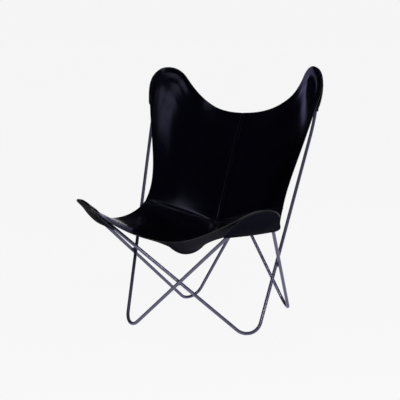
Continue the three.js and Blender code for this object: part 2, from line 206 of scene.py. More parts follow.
class NodeTree:
    """The nodes of a material or a world, with short ways to add and join them."""

    def __init__(self, owner: ID) -> None:
        """Start with the owner's own nodes and its texture coordinates."""
        owner.use_nodes = True
        self.owner = owner
        self.nodes = owner.node_tree.nodes
        self.links = owner.node_tree.links
        self.coordinates = self.add("ShaderNodeTexCoord").outputs

    @property
    def shader(self) -> Node:
        """A material's Principled shader."""
        return self.nodes["Principled BSDF"]

    def add(self, kind: str, **settings: object) -> Node:
        """Add a node.

        Args:
            kind: the node's type.
            settings: its properties, or its inputs by name where it has no such property.

        Returns:
            The node.
        """
        node = self.nodes.new(kind)
        for key, value in settings.items():
            if hasattr(node, key):
                setattr(node, key, value)
            else:
                node.inputs[key].default_value = value
        return node

    def join(self, source: NodeSocket, node: Node, socket: str | int) -> None:
        """Link an output to a node's input, by its name or its number."""
        self.links.new(source, node.inputs[socket])

    def joined(self, kind: str, *sources: NodeSocket, **settings: object) -> NodeSocket:
        """Add a node that takes its first inputs from other nodes.

        Args:
            kind: the node's type.
            sources: outputs for its inputs, in their order.
            settings: as for add.

        Returns:
            Its first output.
        """
        node = self.add(kind, **settings)
        for k, source in enumerate(sources):
            self.join(source, node, k)
        return node.outputs[0]

    def noise(self, scale: float, detail: float) -> NodeSocket:
        """Noise on Object coordinates, as a value from 0 to 1."""
        node = self.add("ShaderNodeTexNoise", Scale=scale, Detail=detail)
        self.join(self.coordinates["Object"], node, "Vector")
        return node.outputs["Fac"]

    def cells(self, scale: float) -> NodeSocket:
        """Soft cells on Object coordinates, as the distance from their centres."""
        node = self.add("ShaderNodeTexVoronoi", feature="SMOOTH_F1", Scale=scale)
        self.join(self.coordinates["Object"], node, "Vector")
        return node.outputs["Distance"]

    def spread(
        self, value: NodeSocket, source: tuple, target: tuple, kind: str = "LINEAR"
    ) -> NodeSocket:
        """Spread a value over a range.

        Args:
            value: the value.
            source: the range that it is read in.
            target: the results at that range's ends.
            kind: how the result goes from one to the other.

        Returns:
            The result.
        """
        node = self.add("ShaderNodeMapRange", interpolation_type=kind)
        for key, number in zip(("From Min", "From Max", "To Min", "To Max"), source + target):
            node.inputs[key].default_value = number
        self.join(value, node, "Value")
        return node.outputs["Result"]

    def tones(self, value: NodeSocket, dark: tuple, light: tuple) -> NodeSocket:
        """Colour between two tones by a value."""
        node = self.add("ShaderNodeMix", data_type="RGBA")
        node.inputs["A"].default_value = (*dark, 1.0)
        node.inputs["B"].default_value = (*light, 1.0)
        self.join(value, node, "Factor")
        return node.outputs["Result"]

    def bump(self, height: NodeSocket, share: float, depth: float) -> None:
        """Add a bump to a material, on top of those already there.

        Args:
            height: the pattern.
            share: how much of the bump shows.
            depth: height of the pattern in metres.
        """
        node = self.add("ShaderNodeBump", Strength=share, Distance=depth)
        self.join(height, node, "Height")
        before = self.shader.inputs["Normal"]
        if before.is_linked:
            self.join(before.links[0].from_socket, node, "Normal")
        self.links.new(node.outputs["Normal"], before)


@dataclass(frozen=True)
class Grain:
    """A fine relief: its scale and detail, how much of it shows, its depth, and if it is of cells."""

    scale: float
    detail: float
    share: float
    depth: float
    cells: bool = False


@dataclass(frozen=True)
class Finish:
    """A finish with cloudy tones, a cloudy sheen and fine reliefs, one over another.

    The clouds and the sheen are noise, given by its scale and detail.
    """

    name: str
    dark: tuple
    light: tuple
    clouds: tuple
    roughness: tuple
    sheen: tuple
    grains: tuple
    metal: float = 0.0
    specular: float = 0.5
    tint: tuple = (1.0, 1.0, 1.0)

    def material(self) -> Material:
        """Build the node material."""
        tree = NodeTree(bpy.data.materials.new(self.name))
        colour = tree.tones(tree.noise(*self.clouds), self.dark, self.light)
        tree.join(colour, tree.shader, "Base Color")
        rough = tree.spread(tree.noise(*self.sheen), NOISE_RANGE, self.roughness)
        tree.join(rough, tree.shader, "Roughness")
        for grain in self.grains:
            pattern = tree.cells(grain.scale) if grain.cells else tree.noise(grain.scale, grain.detail)
            tree.bump(pattern, grain.share, grain.depth)
        tree.shader.inputs["Metallic"].default_value = self.metal
        tree.shader.inputs["Specular IOR Level"].default_value = self.specular
        tree.shader.inputs["Specular Tint"].default_value = (*self.tint, 1.0)
        return tree.owner


FINISHES = {
    "rod": Finish(
        "powder_coat",
        dark=(0.145, 0.140, 0.215), light=(0.180, 0.175, 0.260),
        clouds=(60.0, 3.0), roughness=(0.19, 0.21), sheen=(380.0, 3.0),
        grains=(Grain(2600.0, 1.0, share=0.15, depth=0.00001),),
        metal=0.5,
        tint=(0.45, 0.43, 0.62),
    ),
    "leather": Finish(
        "grain_leather",
        dark=(0.0006, 0.0007, 0.0028), light=(0.0014, 0.0015, 0.0050),
        clouds=(26.0, 6.0), roughness=(0.17, 0.23), sheen=(38.0, 5.0),
        grains=(
            Grain(9.0, 3.0, share=0.12, depth=0.0016),
            Grain(620.0, 0.0, share=0.2, depth=0.0001, cells=True),
            Grain(2600.0, 2.0, share=0.12, depth=0.0001 / 3.0),
        ),
        specular=0.30,
        tint=(0.62, 0.60, 1.0),
    ),
    "suede": Finish(
        "suede",
        dark=(0.0052, 0.0052, 0.0108), light=(0.0104, 0.0102, 0.0195),
        clouds=(18.0, 8.0), roughness=(0.78, 0.95), sheen=(300.0, 3.0),
        grains=(Grain(950.0, 6.0, share=0.5, depth=0.00025),),
        specular=0.05,
        tint=(0.74, 0.73, 1.0),
    ),
    "edge": Finish(
        "cut_edge",
        dark=(0.004, 0.004, 0.006), light=(0.012, 0.011, 0.014),
        clouds=(500.0, 6.0), roughness=(0.45, 0.65), sheen=(700.0, 3.0),
        grains=(Grain(1800.0, 4.0, share=0.4, depth=0.0002),),
    ),
    "thread": Finish(
        "thread",
        dark=(0.006, 0.006, 0.008), light=(0.020, 0.020, 0.026),
        clouds=(2200.0, 2.0), roughness=(0.4, 0.6), sheen=(900.0, 3.0),
        grains=(Grain(3200.0, 2.0, share=0.4, depth=0.0001),),
    ),
}


# Frame of bent rod


class Bend:
    """One bend of a rod, with its own axes: m from the corner between the runs, b across, n square."""

    def __init__(self, corner: Vector, first: Vector, second: Vector, radius: float) -> None:
        """Fit a bend of a given radius between the runs to two neighbouring corners."""
        to_first = (first - corner).normalized()
        to_second = (second - corner).normalized()
        self.corner = corner
        self.radius = radius
        self.half_angle = to_first.angle(to_second) / 2.0
        self.m = (to_first + to_second).normalized()
        self.b = (to_second - to_first).normalized()
        self.n = self.m.cross(self.b)
        self.centre_t = radius / math.sin(self.half_angle)
        self.tangent_length = radius / math.tan(self.half_angle)
        if self.n.z < 0.0:
            self.n.negate()

    def lowest(self, rod_radius: float) -> float:
        """Height of the lowest point of the rod round this bend."""
        drop = self.radius * math.hypot(self.m.z, self.b.z)
        return self.corner.z + self.m.z * self.centre_t - drop - rod_radius

    def local(self, points: ndarray) -> tuple[ndarray, ndarray, ndarray]:
        """Give points in the bend's own axes.

        Args:
            points: places in the chair's frame.

        Returns:
            Their t, w and h along m, b and n.
        """
        away = points - np.array(self.corner)
        return away @ np.array(self.m), away @ np.array(self.b), away @ np.array(self.n)

    def outside(self, t: ndarray, w: ndarray) -> ndarray:
        """Distance at t and w outside the rod's centre line, negative inside the bend."""
        slope = math.tan(self.half_angle)
        side = np.abs(w)
        beside = (side - t * slope) * math.cos(self.half_angle)
        around = np.hypot(t - self.centre_t, w) - self.radius
        return np.where(side * slope < self.centre_t - t, around, beside)


@dataclass(frozen=True)
class Corner:
    """Where the straight runs beside a bend would meet, for the half of the chair at +X."""

    half_width: float
    y: float
    z: float = 0.0

    def at(self, x: float, side: float, step: float, rise: float = 0.0) -> Vector:
        """Place the corner on one side of x, stepped along Y and raised."""
        return Vector((x + side * self.half_width, self.y + step, self.z + rise))


class Crossing(Enum):
    """A place where the loops touch: the run of each loop, and the side where loop two lies."""

    FRONT = (("front_tip", "front_foot"), ("front_tip", "front_foot"), (0.0, -1.0, 0.0))
    BACK = (("back_tip", "rear_foot"), ("back_tip", "rear_foot"), (0.0, -1.0, 0.0))
    LEFT = (("front_tip", "rear_foot"), ("back_tip", "front_foot"), (1.0, 0.0, 0.0))
    RIGHT = (("back_tip", "front_foot"), ("front_tip", "rear_foot"), (1.0, 0.0, 0.0))


@dataclass
class RodFrame:
    """Two loops of rod, nested so that they touch at four crossings and stand on four feet."""

    rod_diameter: float = 0.012
    rod_gap: float = 0.0003
    bend_radius: float = 0.054
    front_tip: Corner = Corner(0.354, -0.212, 0.499)
    back_tip: Corner = Corner(0.352, 0.548, 0.968)
    front_foot: Corner = Corner(0.247, 0.0)
    rear_foot: Corner = Corner(0.198, 0.501)
    foot_flat_depth: float = 0.0012
    back_lean: float = 0.026
    back_lean_reach: float = 0.337
    sides: int = 28
    bend_steps: int = 20
    run_steps: int = 26
    nest_rounds: int = 60
    nodes: tuple = ("rod_loop_right_back", "rod_loop_left_back")
    loops: list = field(default_factory=list)

    @property
    def rod_radius(self) -> float:
        """Half the rod's diameter."""
        return self.rod_diameter / 2.0

    def nest(self) -> None:
        """Step and trim the loops until they lie side by side and every foot reaches the floor."""
        pitch = self.rod_diameter + self.rod_gap
        step = {Crossing.FRONT: pitch, Crossing.BACK: pitch, Crossing.LEFT: 0.0, Crossing.RIGHT: 0.0}
        drop = {"front_foot": [0.0, 0.0], "rear_foot": [0.0, 0.0]}
        for _ in range(self.nest_rounds):
            self.loops = []
            for i, side in enumerate((1.0, -1.0)):
                x = -side * pitch / 2.0
                front = side * step[Crossing.FRONT] / 2.0
                back = side * step[Crossing.BACK] / 2.0
                left, right = i * step[Crossing.LEFT], i * step[Crossing.RIGHT]
                self.loops.append(
                    {
                        "front_tip": self.front_tip.at(x, -side, front),
                        "front_foot": self.front_foot.at(x + left, side, front, drop["front_foot"][i]),
                        "back_tip": self.back_tip.at(x, side, back),
                        "rear_foot": self.rear_foot.at(x + right, -side, back, drop["rear_foot"][i]),
                    }
                )
            for crossing in Crossing:
                step[crossing] += pitch - self.separation(crossing)
            for i, loop in enumerate(self.loops):
                for name in drop:
                    bend = Bend(loop[name], loop["front_tip"], loop["back_tip"], self.bend_radius)
                    drop[name][i] -= bend.lowest(self.rod_radius) + self.foot_flat_depth

    def separation(self, crossing: Crossing) -> float:
        """Distance between the two runs of a crossing, positive on loop two's side."""
        one, two, hint = crossing.value
        a, b = ([loop[name] for name in names] for loop, names in zip(self.loops, (one, two)))
        normal = (a[1] - a[0]).cross(b[1] - b[0]).normalized()
        if normal.dot(Vector(hint)) < 0.0:
            normal.negate()
        return (b[0] - a[0]).dot(normal)

    def tip(self, loop: dict, name: str) -> Bend:
        """One of a loop's upper bends."""
        return Bend(loop[name], loop["front_foot"], loop["rear_foot"], self.bend_radius)

    def lean(self, bend: Bend, t: ndarray) -> ndarray:
        """How far a back tip bows forward, at distances t from its corner."""
        top = bend.centre_t - bend.radius
        share = np.maximum(0.0, self.back_lean_reach - t) / (self.back_lean_reach - top)
        return self.back_lean * share**2

    def bent_loop(self, loop: dict) -> BMesh:
        """Bend one loop as a rod is bent: straight runs are drawn out and bends are spun.

        Args:
            loop: the loop's corners.

        Returns:
            The closed rod, before its feet are cut flat.
        """
        corners = [loop[name] for name in ("front_tip", "front_foot", "back_tip", "rear_foot")]
        start = (corners[-1] + corners[0]) / 2.0
        turn = (corners[0] - corners[-1]).to_track_quat("Z", "Y").to_matrix().to_4x4()
        bm = bmesh.new()
        verts = bmesh.ops.create_circle(
            bm, segments=self.sides, radius=self.rod_radius, matrix=Matrix.Translation(start) @ turn
        )["verts"]
        first = list({edge for vert in verts for edge in vert.link_edges})
        edges, at = first, start
        for k, corner in enumerate(corners):
            prior, after = corners[k - 1], corners[(k + 1) % 4]
            bend = Bend(corner, prior, after, self.bend_radius)
            begin = corner + (prior - corner).normalized() * bend.tangent_length
            verts, edges = self.drawn(bm, edges, begin - at)
            away = (after - corner).normalized()
            spun = bmesh.ops.spin(
                bm,
                geom=verts + edges,
                cent=corner + bend.m * bend.centre_t,
                axis=(corner - prior).cross(away).normalized(),
                angle=math.pi - 2.0 * bend.half_angle,
                steps=self.bend_steps,
            )
            verts, edges = ring_parts(spun["geom_last"])
            at = corner + away * bend.tangent_length
        close = (start - at) * (1.0 - 1.0 / self.run_steps)
        _, edges = self.drawn(bm, edges, close)
        bmesh.ops.bridge_loops(bm, edges=first + edges)
        bmesh.ops.recalc_face_normals(bm, faces=bm.faces)
        return bm

    def drawn(self, bm: BMesh, edges: list, run: Vector) -> tuple[list, list]:
        """Draw a ring out along a straight run.

        Args:
            bm: the rod.
            edges: the ring at its end.
            run: the way to its new end.

        Returns:
            The last ring's vertices and edges.
        """
        verts = []
        for _ in range(self.run_steps):
            verts, edges = ring_parts(bmesh.ops.extrude_edge_only(bm, edges=edges)["geom"])
            bmesh.ops.translate(bm, verts=verts, vec=run / self.run_steps)
        return verts, edges

    def build(self, finish: Material) -> list[Object]:
        """Make both loops where their solids are.

        Args:
            finish: the rods' material.

        Returns:
            The two pieces.
        """
        self.nest()
        shapes = [self.bowed(loop) for loop in self.loops]
        low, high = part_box(self.nodes[0])
        points = np.array([vert.co for vert in shapes[0].verts])
        shift = (low + high) / 2.0 - Vector((points.min(0) + points.max(0)) / 2.0)
        shift.z = 0.0
        for loop in self.loops:
            for corner in loop.values():
                corner += shift
        pieces = []
        for bm, node in zip(shapes, self.nodes):
            bmesh.ops.translate(bm, verts=bm.verts, vec=shift)
            pieces.append(piece_from(bm, f"bent_{node}", (finish,), node))
        return pieces

    def bowed(self, loop: dict) -> BMesh:
        """Bend a loop, bow its back tip forward and cut its feet flat."""
        bm = self.bent_loop(loop)
        bend = self.tip(loop, "back_tip")
        points = np.array([vert.co for vert in bm.verts])
        bow = self.lean(bend, bend.local(points)[0])
        for vert, rise in zip(bm.verts, bow):
            vert.co += bend.n * float(rise)
        bmesh.ops.bisect_plane(
            bm,
            geom=bm.verts[:] + bm.edges[:] + bm.faces[:],
            dist=MERGE_REACH,
            plane_co=(0.0, 0.0, 0.0),
            plane_no=(0.0, 0.0, 1.0),
            clear_inner=True,
        )
        bmesh.ops.holes_fill(bm, edges=[edge for edge in bm.edges if edge.is_boundary])
        return bm


@dataclass
class WeldBead:
    """A weld bead in one corner between two crossing runs."""

    node: str
    growth: float = 1.25
    ripple: float = 0.0004
    ripples: float = 1900.0
    slant: tuple = (1.0, 0.5, 1.0)
    rounds: int = 3

    def build(self, finish: Material) -> Object:
        """Swell a rippled bead where the bead's solid is, so that it runs into both rods.

        Args:
            finish: the bead's material.

        Returns:
            The piece.
        """
        low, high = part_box(self.node)
        middle = (low + high) / 2.0
        size = (high - low) / 2.0 * self.growth
        bm = bmesh.new()
        bmesh.ops.create_icosphere(bm, subdivisions=self.rounds, radius=1.0)
        bmesh.ops.scale(bm, verts=bm.verts, vec=size)
        bmesh.ops.translate(bm, verts=bm.verts, vec=middle)
        for vert in bm.verts:
            wave = math.sin(self.ripples * vert.co.dot(Vector(self.slant)))
            vert.co += (vert.co - middle).normalized() * self.ripple * wave
        return piece_from(bm, f"{self.node}_bead", (finish,), self.node)


# Sling


class Border(Enum):
    """The two edges of a panel that are sewn to other panels."""

    CENTRE_SEAM = "centre seam"
    CROSS_SEAM = "cross seam"


@dataclass(frozen=True)
class PullFold:
    """A fold that the pull on a back tip draws, placed in the tip's own axes."""

    height: float
    softness: float
    crown_lift: float
    crown_rise: float
    dip: float
    rim_outer: float
    rim_inner: float
    width: float = 0.060
    roof: float = 0.068
    fades: tuple = (0.31, 0.19)
    along: tuple = (0.121, 0.176, 0.203, 0.291, 0.36)
    across: tuple = (0.022, 0.006, -0.005, -0.052, -0.085)


@dataclass
class SlingPanel:
    """One leather panel of the sling, on the surface of its solid."""

    node: str
    tip: Bend
    rod: str
    leans: bool
    fold: PullFold
    rows: int = 132
    columns: int = 104
    crowding: float = 0.82
    edge_round: float = 0.0009
    edge_segments: int = 2
    edge_angle: float = 50.0
    seam_dip: float = 0.0014
    seam_width: float = 0.0030
    seam_drift: float = 0.03
    tip_fade: tuple = (0.30, 0.16)
    dip: float = 0.0020
    dip_start: tuple = (0.004, 0.026)
    dip_reach: float = 0.05
    folds_height: float = 0.0003
    folds_round: float = 11.0
    folds_turn: float = 0.7
    folds_at: float = 0.16
    folds_width: float = 0.1
    folds_start: tuple = (0.0, 0.03)
    ridge_start: tuple = (0.02, -0.02)
    rim_drop: float = 0.0075
    rim_start: tuple = (0.009, 0.036)
    rim_side: tuple = (0.01, -0.04)
    crown_start: tuple = (0.0, 0.03)
    crown_fade: tuple = (0.21, 0.12)
    hollow_depth: float = 0.0150
    hollow_reach: float = 0.090
    hollow_fade: tuple = (0.15, 0.0)
    brow_height: float = 0.0055
    brow_reach: float = 0.058
    brow_fade: tuple = (0.23, 0.13)
    points: ndarray = field(default=None, repr=False)
    normals: ndarray = field(default=None, repr=False)

    def solid_grid(self) -> ndarray:
        """Read the rows and columns of points on the sitter's side of the panel's solid.

        Returns:
            Points by row, from the cross seam, and column, from the centre seam.
        """
        bm, cut = merged_solid(self.node)
        bmesh.ops.delete(bm, geom=list(cut), context="FACES_ONLY")
        loose = [edge for edge in bm.edges if not edge.link_faces]
        bmesh.ops.delete(bm, geom=loose, context="EDGES_FACES")
        under = [face for face in bm.faces if face.normal.z - face.normal.y < 0.0]
        bmesh.ops.delete(bm, geom=under, context="FACES")
        corners = [vert for vert in bm.verts if len(vert.link_edges) < 4]
        start = min((v for v in corners if len(v.link_edges) == 3), key=lambda v: abs(v.co.x))
        others = [v for v in corners if len(v.link_edges) == 2]
        first_column = self.walk(start, min(others, key=lambda v: abs(v.co.x)))
        row = self.walk(start, max(others, key=lambda v: abs(v.co.x)))
        grid = [row]
        for begin in first_column[1:]:
            fresh = [begin]
            for near, beside in zip(row, row[1:]):
                fresh.append(self.shared(near, beside, fresh[-1]))
            row = fresh
            grid.append(row)
        found = np.array([[vert.co[:] for vert in line] for line in grid])
        bm.free()
        return found

    @staticmethod
    def walk(start: BMVert, end: BMVert) -> list:
        """Follow the panel's border from one corner to the next one along it."""
        for edge in start.link_edges:
            if not edge.is_boundary:
                continue
            path = [start, edge.other_vert(start)]
            while len(path[-1].link_edges) == 4:
                ahead = [e.other_vert(path[-1]) for e in path[-1].link_edges if e.is_boundary]
                path.append(next(vert for vert in ahead if vert is not path[-2]))
            if path[-1] is end:
                return path
        raise ValueError("the panel's border doesn't lead to that corner")

    @staticmethod
    def shared(*corners: BMVert) -> BMVert:
        """The fourth corner of a grid cell, next to three known ones."""
        around = [{edge.other_vert(vert) for edge in vert.link_edges} for vert in corners]
        return next(vert for vert in set.intersection(*around) if vert not in corners)

    def shape(self) -> None:
        """Draw the fine surface through the solid's points and give it its seams and folds."""
        coarse = self.solid_grid()
        rows, columns, _ = coarse.shape
        down = spline_weights(rows, crowded_steps(self.rows, self.crowding) * (rows - 1))
        across = spline_weights(columns, crowded_steps(self.columns, self.crowding) * (columns - 1))
        self.points = np.einsum("rj,jix,ci->rcx", down, coarse, across)
        self.points[:, 0, 0] = 0.0
        self.normals = self.surface_normals()
        relief = self.seam_roll()
        if self.leans:
            relief = relief + self.hollow() + self.brow()
        self.points += self.normals * relief[..., None]
        self.close_seam()
        self.points += np.array(self.tip.n) * self.tip_form()[..., None]
        self.points += self.crown_reach(self.points)
        self.normals = self.surface_normals()

    def surface_normals(self) -> ndarray:
        """Normals of the fine surface, on the sitter's side."""
        along = np.gradient(self.points, axis=0)
        across = np.gradient(self.points, axis=1)
        normals = unit(np.cross(across, along))
        middle = normals[self.rows // 2, self.columns // 2]
        return normals if middle[2] - middle[1] > 0.0 else -normals

    def close_seam(self) -> None:
        """Draw the centre seam back to the chair's middle, with the leather beside it."""
        drift = self.points[:, :1, 0]
        beside = (self.points[..., 0] - drift) / self.seam_drift
        self.points[..., 0] -= drift * np.exp(-(beside**2))

    def seam_roll(self) -> ndarray:
        """How far the surface rolls down into the seams."""
        gap = np.minimum(self.gap_to(self.points[0]), self.gap_to(self.points[:, 0]))
        return -self.seam_dip * np.exp(-((gap / self.seam_width) ** 2))

    def gap_to(self, line: ndarray) -> ndarray:
        """Distance of each surface point from a line of points."""
        nearest = np.full(self.points.shape[:2], np.inf)
        for point in line:
            nearest = np.minimum(nearest, np.linalg.norm(self.points - point, axis=-1))
        return nearest

    def tip_form(self) -> ndarray:
        """How the leather lies over the rod at the tip: a turned down rim, a dip inside, and folds."""
        t, w, _ = self.tip.local(self.points)
        out = self.tip.outside(t, w)
        inside = np.clip(-out, 0.0, None)
        depth = self.fold.dip if self.leans else self.dip
        dip = -depth * eased(inside, *self.dip_start) * np.exp(-inside / self.dip_reach)
        angle = np.arctan2(w, np.maximum(t - self.tip.centre_t, 1e-3))
        reach = np.hypot(t - self.tip.centre_t, w)
        folds = self.folds_height * np.cos(self.folds_round * angle + self.folds_turn)
        folds *= np.exp(-(((reach - self.folds_at) / self.folds_width) ** 2))
        form = dip * eased(t, *self.tip_fade) + folds * eased(inside, *self.folds_start)
        if self.leans:
            form += self.ridge(t, w) * eased(out, *self.ridge_start)
        return form + self.rim_fall(t, w)

    def rim_fall(self, t: ndarray, w: ndarray) -> ndarray:
        """How far a back tip's rim turns down outside the rod at t and w, by its share on each side."""
        if not self.leans:
            return np.zeros_like(t)
        outer = eased(w, *self.rim_side)
        side = self.fold.rim_inner + (self.fold.rim_outer - self.fold.rim_inner) * outer
        past = eased(self.tip.outside(t, w), *self.rim_start)
        return -self.rim_drop * past * eased(t, *self.tip_fade) * side

    def crown_reach(self, points: ndarray) -> ndarray:
        """How the rim at the crown of a back tip stands up and out, off the rod.

        Args:
            points: places on the panel or its pocket patch.

        Returns:
            Their moves.
        """
        if not self.leans:
            return np.zeros_like(points)
        t, w, _ = self.tip.local(points)
        share = eased(self.tip.outside(t, w), *self.crown_start) * eased(t, *self.crown_fade)
        reach = np.array(self.tip.n) * self.fold.crown_lift - np.array(self.tip.m) * self.fold.crown_rise
        return share[..., None] * reach

    def ridge(self, t: ndarray, w: ndarray) -> ndarray:
        """Height of the pull fold that runs from the crown towards the outer rod, at t and w."""
        beside = w - np.interp(t, self.fold.along, self.fold.across)
        away = np.hypot(beside, self.fold.softness) - self.fold.softness
        roof = np.clip(1.0 - away / self.fold.roof, 0.0, 1.0)
        rise = np.where(beside < 0.0, roof, np.exp(-away / self.fold.width))
        return self.fold.height * rise * eased(t, *self.fold.fades)

    def hollow(self) -> ndarray:
        """How far a back panel hollows above the cross seam, near the middle of the chair."""
        gap = self.gap_to(self.points[0]) / self.hollow_reach
        middle = eased(np.abs(self.points[..., 0]), *self.hollow_fade)
        return -self.hollow_depth * middle * gap * np.exp(1.0 - gap)

    def brow(self) -> ndarray:
        """How far the top edge of a back panel stands forward, near the middle of the chair."""
        near = 1.0 - np.clip(self.gap_to(self.points[-1]) / self.brow_reach, 0.0, 1.0)
        middle = eased(np.abs(self.points[..., 0]), *self.brow_fade)
        return self.brow_height * near**2 * middle

    def build(self, *finishes: Material) -> Object:
        """Make the panel.

        Args:
            finishes: materials of the grain side, the flesh side and the cut edge.

        Returns:
            The piece.
        """
        self.shape()
        bm = bmesh.new()
        bmesh.ops.create_grid(bm, x_segments=self.columns, y_segments=self.rows, size=0.5)
        for vert in bm.verts:
            column = round((vert.co.x + 0.5) * self.columns)
            row = round((vert.co.y + 0.5) * self.rows)
            vert.co = self.points[row, column]
        bm.normal_update()
        middle = self.normals[self.rows // 2, self.columns // 2]
        if sum((face.normal for face in bm.faces), Vector()).dot(Vector(middle)) < 0.0:
            bmesh.ops.reverse_faces(bm, faces=bm.faces)
        name = self.node.replace("panel", "leather")
        piece = piece_from(bm, name, finishes, self.node)
        wall = piece.modifiers.new("thickness", "SOLIDIFY")
        wall.thickness = LEATHER
        wall.offset = -1.0
        wall.use_even_offset = True
        wall.material_offset = 1
        wall.material_offset_rim = 2
        edge = piece.modifiers.new("rounded_edge", "BEVEL")
        edge.width = self.edge_round
        edge.segments = self.edge_segments
        edge.limit_method = "ANGLE"
        edge.angle_limit = math.radians(self.edge_angle)
        return piece


@dataclass
class PocketPatch:
    """A pocket patch behind a tip, on the surface of its solid."""

    node: str
    panel: SlingPanel
    sag: float = 0.0
    turned: float = 1.08
    crease: float = 0.85
    flat_angle: float = 60.0
    shape_angle: float = 120.0
    levels: int = 3
    slack_start: tuple = (0.04, 0.095)
    slack_end: tuple = (0.106, 0.136)
    slack_loss: float = 0.8
    slack_side: tuple = (0.08, 0.03)

    def slack(self, t: ndarray, w: ndarray) -> ndarray:
        """How far the patch hangs free of the rod at t and w, between its hem and its open end."""
        past = t - t.min()
        along = eased(past, *self.slack_start) * (1.0 - self.slack_loss * eased(past, *self.slack_end))
        return self.sag * along * eased(np.abs(w), *self.slack_side)

    def build(self, *finishes: Material) -> Object:
        """Make the patch, rounded off and drawn with the panel's rim.

        Args:
            finishes: materials of the patch's faces and its cut edge.

        Returns:
            The piece.
        """
        bm, cut = merged_solid(self.node)
        bm.normal_update()
        creases = bm.edges.layers.float.new("crease_edge")
        for face in bm.faces:
            face.material_index = 1 if face in cut else 0
        for edge in bm.edges:
            if len({face in cut for face in edge.link_faces}) == 2:
                edge[creases] = self.crease
                edge.seam = True
        bmesh.ops.join_triangles(
            bm,
            faces=bm.faces[:],
            cmp_seam=True,
            cmp_materials=True,
            angle_face_threshold=math.radians(self.flat_angle),
            angle_shape_threshold=math.radians(self.shape_angle),
        )
        tip = self.panel.tip
        area = sum(face.calc_area() for face in bm.faces if face not in cut) / 2.0
        points = np.array([vert.co for vert in bm.verts])
        t, w, _ = tip.local(points)
        reach = self.panel.crown_reach(points)
        drop = self.panel.rim_fall(t, w) - self.slack(t, w)
        for vert, fall, stand in zip(bm.verts, drop, reach):
            vert.co += tip.n * float(fall) + Vector(stand)
        name = self.node.replace("pocket", "pocket_patch")
        piece = piece_from(bm, name, finishes, self.node)
        fine = piece.modifiers.new("smooth", "SUBSURF")
        fine.levels = self.levels
        fine.render_levels = self.levels
        return piece


@dataclass
class Stitching:
    """Rows of stitches along seams and hems."""

    pitch: float = 0.0062
    length: float = 0.0046
    width: float = 0.0011
    height: float = 0.0009
    lift: float = 0.15
    look: float = 0.001
    around: int = 6
    rings: int = 5

    def sew(self, bm: BMesh, path: ndarray, normals: ndarray) -> int:
        """Add a row of stitches along a path.

        Args:
            bm: where the stitches go.
            path: points along the row.
            normals: the surface's normals there.

        Returns:
            How many stitches were made.
        """
        run = run_of(path)
        count = int(run[-1] / self.pitch)
        at = (np.arange(count) + 0.5) * run[-1] / max(count, 1)
        places = read_along(at, run, path)
        tangents = unit(read_along(at + self.look, run, path) - read_along(at - self.look, run, path))
        ups = unit(read_along(at, run, normals))
        sides = unit(np.cross(ups, tangents))
        ups = np.cross(tangents, sides)
        turns = np.tile(np.eye(4), (count, 1, 1))
        turns[:, :3, 0] = sides * (self.width / 2.0)
        turns[:, :3, 1] = ups * (self.height / 2.0)
        turns[:, :3, 2] = tangents * (self.length / 2.0)
        turns[:, :3, 3] = places + ups * self.height * self.lift
        for turn in turns:
            bmesh.ops.create_uvsphere(
                bm, u_segments=self.around, v_segments=self.rings, radius=1.0, matrix=Matrix(turn)
            )
        return count


